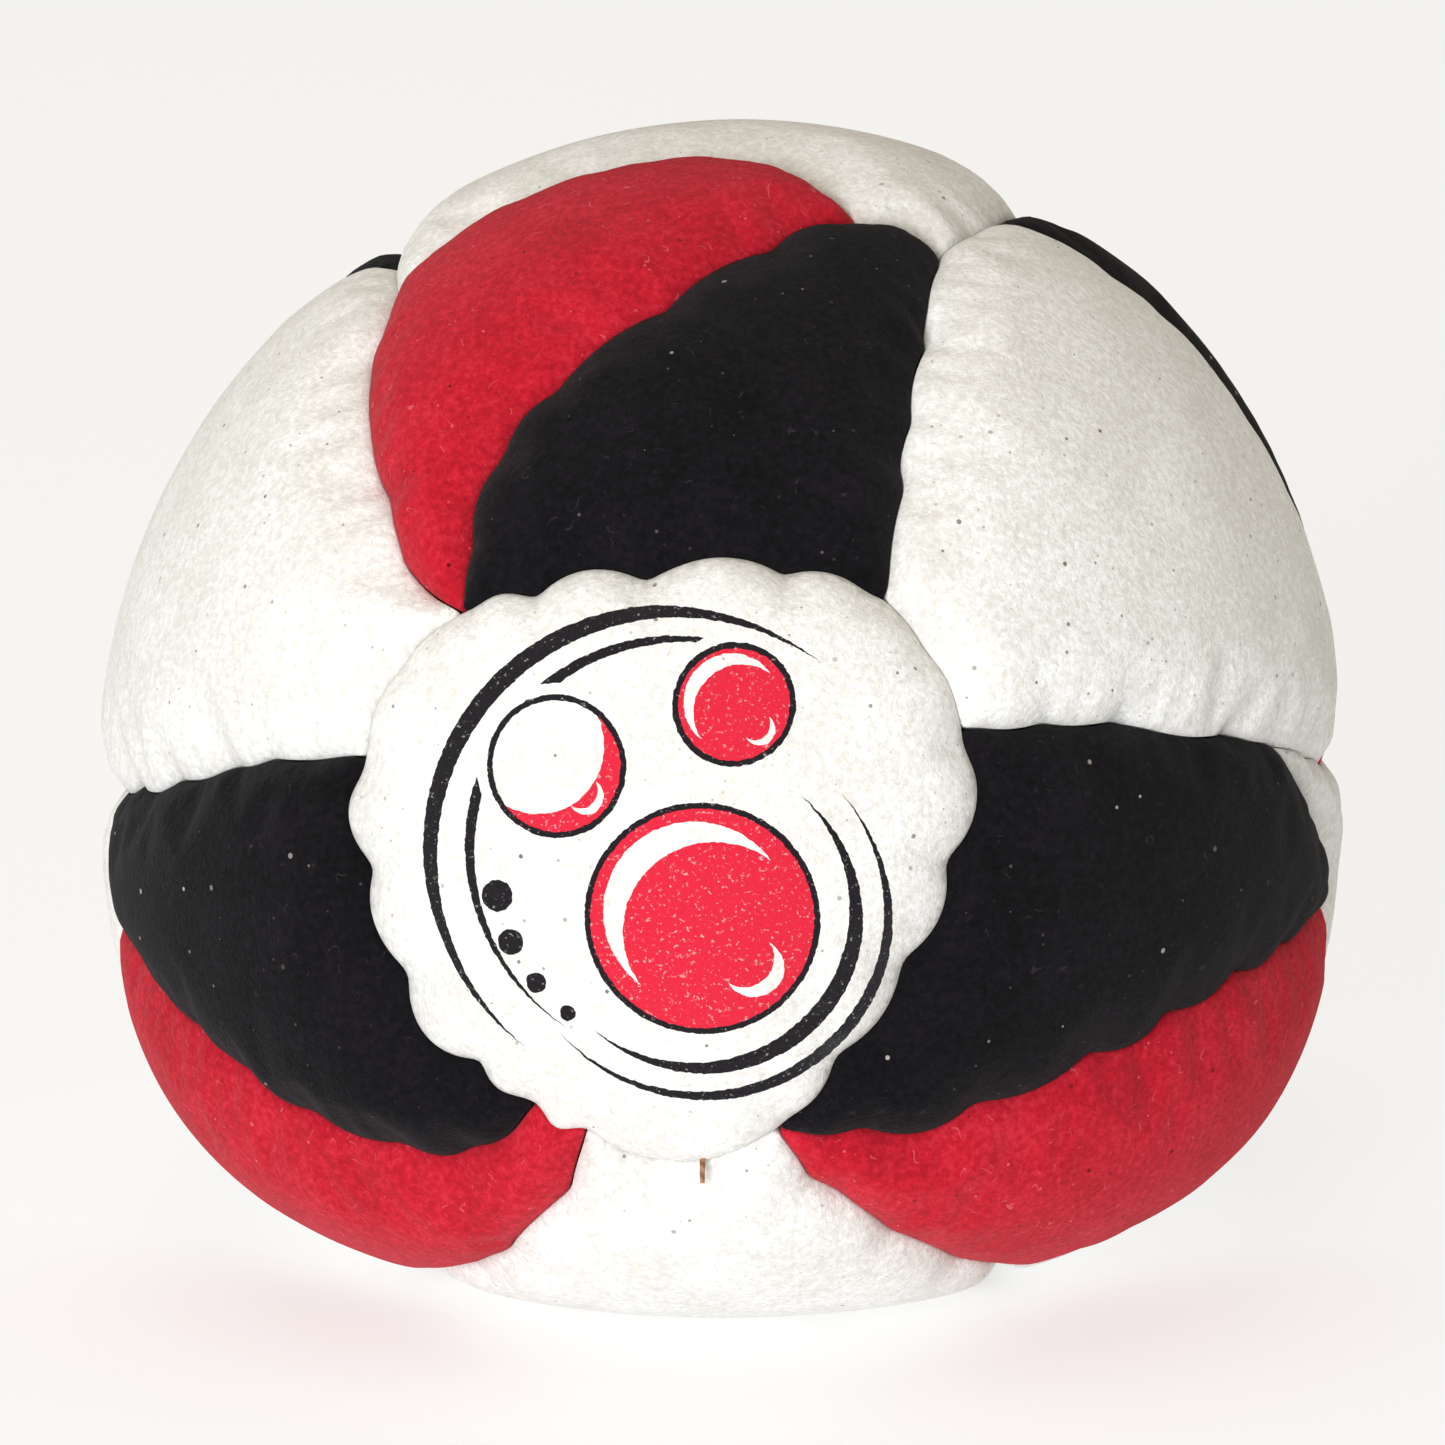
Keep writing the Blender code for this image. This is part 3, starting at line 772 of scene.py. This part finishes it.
suede["print_panel"].data.materials[0] = print_material("printed_white_suede")
print("nodes in the printed suede:", len(suede["print_panel"].data.materials[0].node_tree.nodes))

# %% [markdown]
# The thread is waxed polyester and the filling is a packed mass of small plastic pellets. Both lie under
# the cover and still get their own finish, for anyone who opens the ball.

# %% Thread and pellets
STRAND_SPACING = 0.484 * MM
WAVE_SPACING = 0.363  # the distance between the bands of a diagonal wave texture at a scale of 1


def thread_material():
    """Waxed polyester sewing thread.

    It is spun from strands that are twisted together and drawn through wax. The twist shows as slanting
    bands, and the wax leaves a dull shine. The strands are drawn half a millimetre apart, about twice
    the real spacing, so that they show.
    """
    made, tree, shader, place = new_material("waxed_thread")
    twist = {"bands_direction": "DIAGONAL"}
    scale = WAVE_SPACING / STRAND_SPACING
    strands = add_node(tree, "TexWave", twist, Vector=place, Scale=scale, Distortion=1.0)
    stops = ((0.0, "#C9C4B6"), (1.0, "#ECE8DC"))
    ramp = add_node(tree, "ValToRGB", stops=stops, Fac=strands.outputs["Fac"])
    tree.links.new(ramp.outputs["Color"], shader.inputs["Base Color"])
    bump = add_node(tree, "Bump", Height=strands.outputs["Fac"], Strength=0.4, Distance=0.1 * MM)
    tree.links.new(bump.outputs["Normal"], shader.inputs["Normal"])
    shader.inputs["Roughness"].default_value = 0.55
    return made


def pellet_material():
    """Polypropylene pellets, packed tight.

    They are cut from an extruded strand and are about 3 mm across. Each is a smooth, rounded grain in a
    slightly different natural tone, so the mass looks like coarse, pale gravel with a soft shine.
    """
    made, tree, shader, place = new_material("plastic_pellets")
    cells = add_node(tree, "TexVoronoi", Vector=place, Scale=1 / (3.0 * MM))
    tone = add_node(tree, "SeparateColor", Color=cells.outputs["Color"])
    stops = ((0.0, "#B9AE98"), (1.0, "#E4DDCB"))
    ramp = add_node(tree, "ValToRGB", stops=stops, Fac=tone.outputs[0])
    tree.links.new(ramp.outputs["Color"], shader.inputs["Base Color"])
    bump = add_node(
        tree, "Bump", {"invert": True}, Height=cells.outputs["Distance"], Strength=0.8, Distance=1.2 * MM
    )
    tree.links.new(bump.outputs["Normal"], shader.inputs["Normal"])
    shader.inputs["Roughness"].default_value = 0.4
    return made


thread_finish = thread_material()
inner = {"thread": thread_finish, "pellets": pellet_material()}
for name, node in nodes.items():
    if slot_of[name] in inner:
        node.data.materials.clear()
        node.data.materials.append(inner[slot_of[name]])
print("inner finishes on", sum(slot_of[name] in inner for name in nodes), "solids")

# %% [markdown]
# Where the round panel was closed, the knot's clipped end still sticks out of the seam below the print.
# It is only a millimetre or two of thread, darkened by wax and handling, so it is a short bent tube.
# A cylinder is added upright, cut across into rings, and each ring is moved along the bend.

# %% The clipped thread end
TAIL_RADIUS = 0.16 * MM
TAIL_LENGTH = 1.5 * MM
TAIL_DEPTH = 1.3 * MM
TAIL_TAPER = 0.25
TAIL_RINGS = 7


def stained_finish():
    """The same thread, stained brown where it was handled."""
    made = thread_finish.copy()
    made.name = "stained_thread"
    ramp = next(node for node in made.node_tree.nodes if node.type == "VALTORGB").color_ramp
    ramp.elements[0].color = colour("#7A4E30")
    ramp.elements[1].color = colour("#B0805A")
    return made


def clipped_end(name, place, droop):
    """A short end of thread that leaves the seam at a place and bends downwards by droop radians."""
    bpy.ops.object.select_all(action="DESELECT")
    bpy.ops.mesh.primitive_cylinder_add(vertices=12, radius=TAIL_RADIUS, depth=TAIL_LENGTH)
    tail = bpy.context.object
    tail.name = name
    bpy.ops.object.mode_set(mode="EDIT")
    for ring in range(1, TAIL_RINGS):
        height = TAIL_LENGTH * (ring / TAIL_RINGS - 0.5)
        bpy.ops.mesh.select_all(action="SELECT")
        bpy.ops.mesh.bisect(plane_co=(0, 0, height), plane_no=(0, 0, 1))
    bpy.ops.object.mode_set(mode="OBJECT")
    way = direction(*place)
    start = HEART + way * (body_radius(way) - TAIL_DEPTH)
    down = (Vector((0, 0, -1)) + way * way.z).normalized()
    side = way.cross(down)
    bend = TAIL_LENGTH / droop
    for vertex in tail.data.vertices:
        along = vertex.co.z / TAIL_LENGTH + 0.5
        turn = droop * along
        spine = start + way * bend * math.sin(turn) + down * bend * (1 - math.cos(turn))
        across = side * vertex.co.x + (down * math.cos(turn) - way * math.sin(turn)) * vertex.co.y
        vertex.co = spine + across * (1 - TAIL_TAPER * along)
    tail.data.update()
    bpy.ops.object.mode_set(mode="EDIT")
    bpy.ops.mesh.select_all(action="SELECT")
    bpy.ops.mesh.normals_make_consistent(inside=False)
    bpy.ops.object.mode_set(mode="OBJECT")
    tail.data.shade_smooth()
    tail.data.materials.append(stained_finish())
    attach(tail, "root")
    return tail


tail = clipped_end("clipped_thread_end", (277.5, 30.6), 1.2)
print("the clipped end has", len(tail.data.polygons), "faces")

# %% [markdown]
# The ball stands on a white light table in a soft, frontal light. The table lights it from below and
# hides its shadow, as in a catalogue picture.

# %% Floor and light
bpy.ops.object.select_all(action="DESELECT")
bpy.ops.mesh.primitive_plane_add(size=8.0, location=(0, 0, 0))
floor = bpy.context.object
floor.name = "light_table"
made, _, shader, _ = new_material("white_table")
shader.inputs["Base Color"].default_value = colour("#A2A2A2")
shader.inputs["Roughness"].default_value = 0.9
shader.inputs["Emission Color"].default_value = colour("#FFFFFF")
shader.inputs["Emission Strength"].default_value = 0.66
floor.data.materials.append(made)

world = bpy.data.worlds.new("studio")
bpy.context.scene.world = world
world.use_nodes = True
world.node_tree.nodes["Background"].inputs["Color"].default_value = colour("#F2ECDE")
world.node_tree.nodes["Background"].inputs["Strength"].default_value = 0.45


def add_softbox(name, place, size, power, tint):
    """A square soft light that faces the ball."""
    bpy.ops.object.light_add(type="AREA", location=place)
    lamp = bpy.context.object
    lamp.name = name
    lamp.data.size = size
    lamp.data.energy = power
    lamp.data.color = colour(tint)[:3]
    lamp.rotation_mode = "QUATERNION"
    lamp.rotation_quaternion = (HEART - Vector(place)).to_track_quat("-Z", "Y")


add_softbox("front_softbox", (-0.28, -0.82, 0.16), 0.35, 6.0, "#F8FAFF")
add_softbox("top_softbox", (-0.10, -0.10, 0.90), 0.50, 2.0, "#FFF6E8")

# %% [markdown]
# A long lens from a little way off shows a small thing without distorting it. The camera looks slightly
# down at the print.

# %% Camera
CAMERA_ELEVATION = math.radians(15.0)
CAMERA_DISTANCE = 0.9
CAMERA_RISE = 3.0 * MM
FRAME_WIDTH = 74.3 * MM
SENSOR_WIDTH = 36.0
back = Vector((0, -math.cos(CAMERA_ELEVATION), math.sin(CAMERA_ELEVATION)))
up = Vector((0, math.sin(CAMERA_ELEVATION), math.cos(CAMERA_ELEVATION)))
bpy.ops.object.camera_add(location=HEART + up * CAMERA_RISE + back * CAMERA_DISTANCE)
camera = bpy.context.object
camera.rotation_mode = "QUATERNION"
camera.rotation_quaternion = (-back).to_track_quat("-Z", "Y")
camera.data.sensor_width = SENSOR_WIDTH
camera.data.lens = SENSOR_WIDTH * CAMERA_DISTANCE / FRAME_WIDTH
camera.data.clip_start = 0.05
camera.data.clip_end = 20.0
bpy.context.scene.camera = camera
bpy.context.scene.view_settings.view_transform = "Standard"
print("lens:", round(camera.data.lens), "mm")
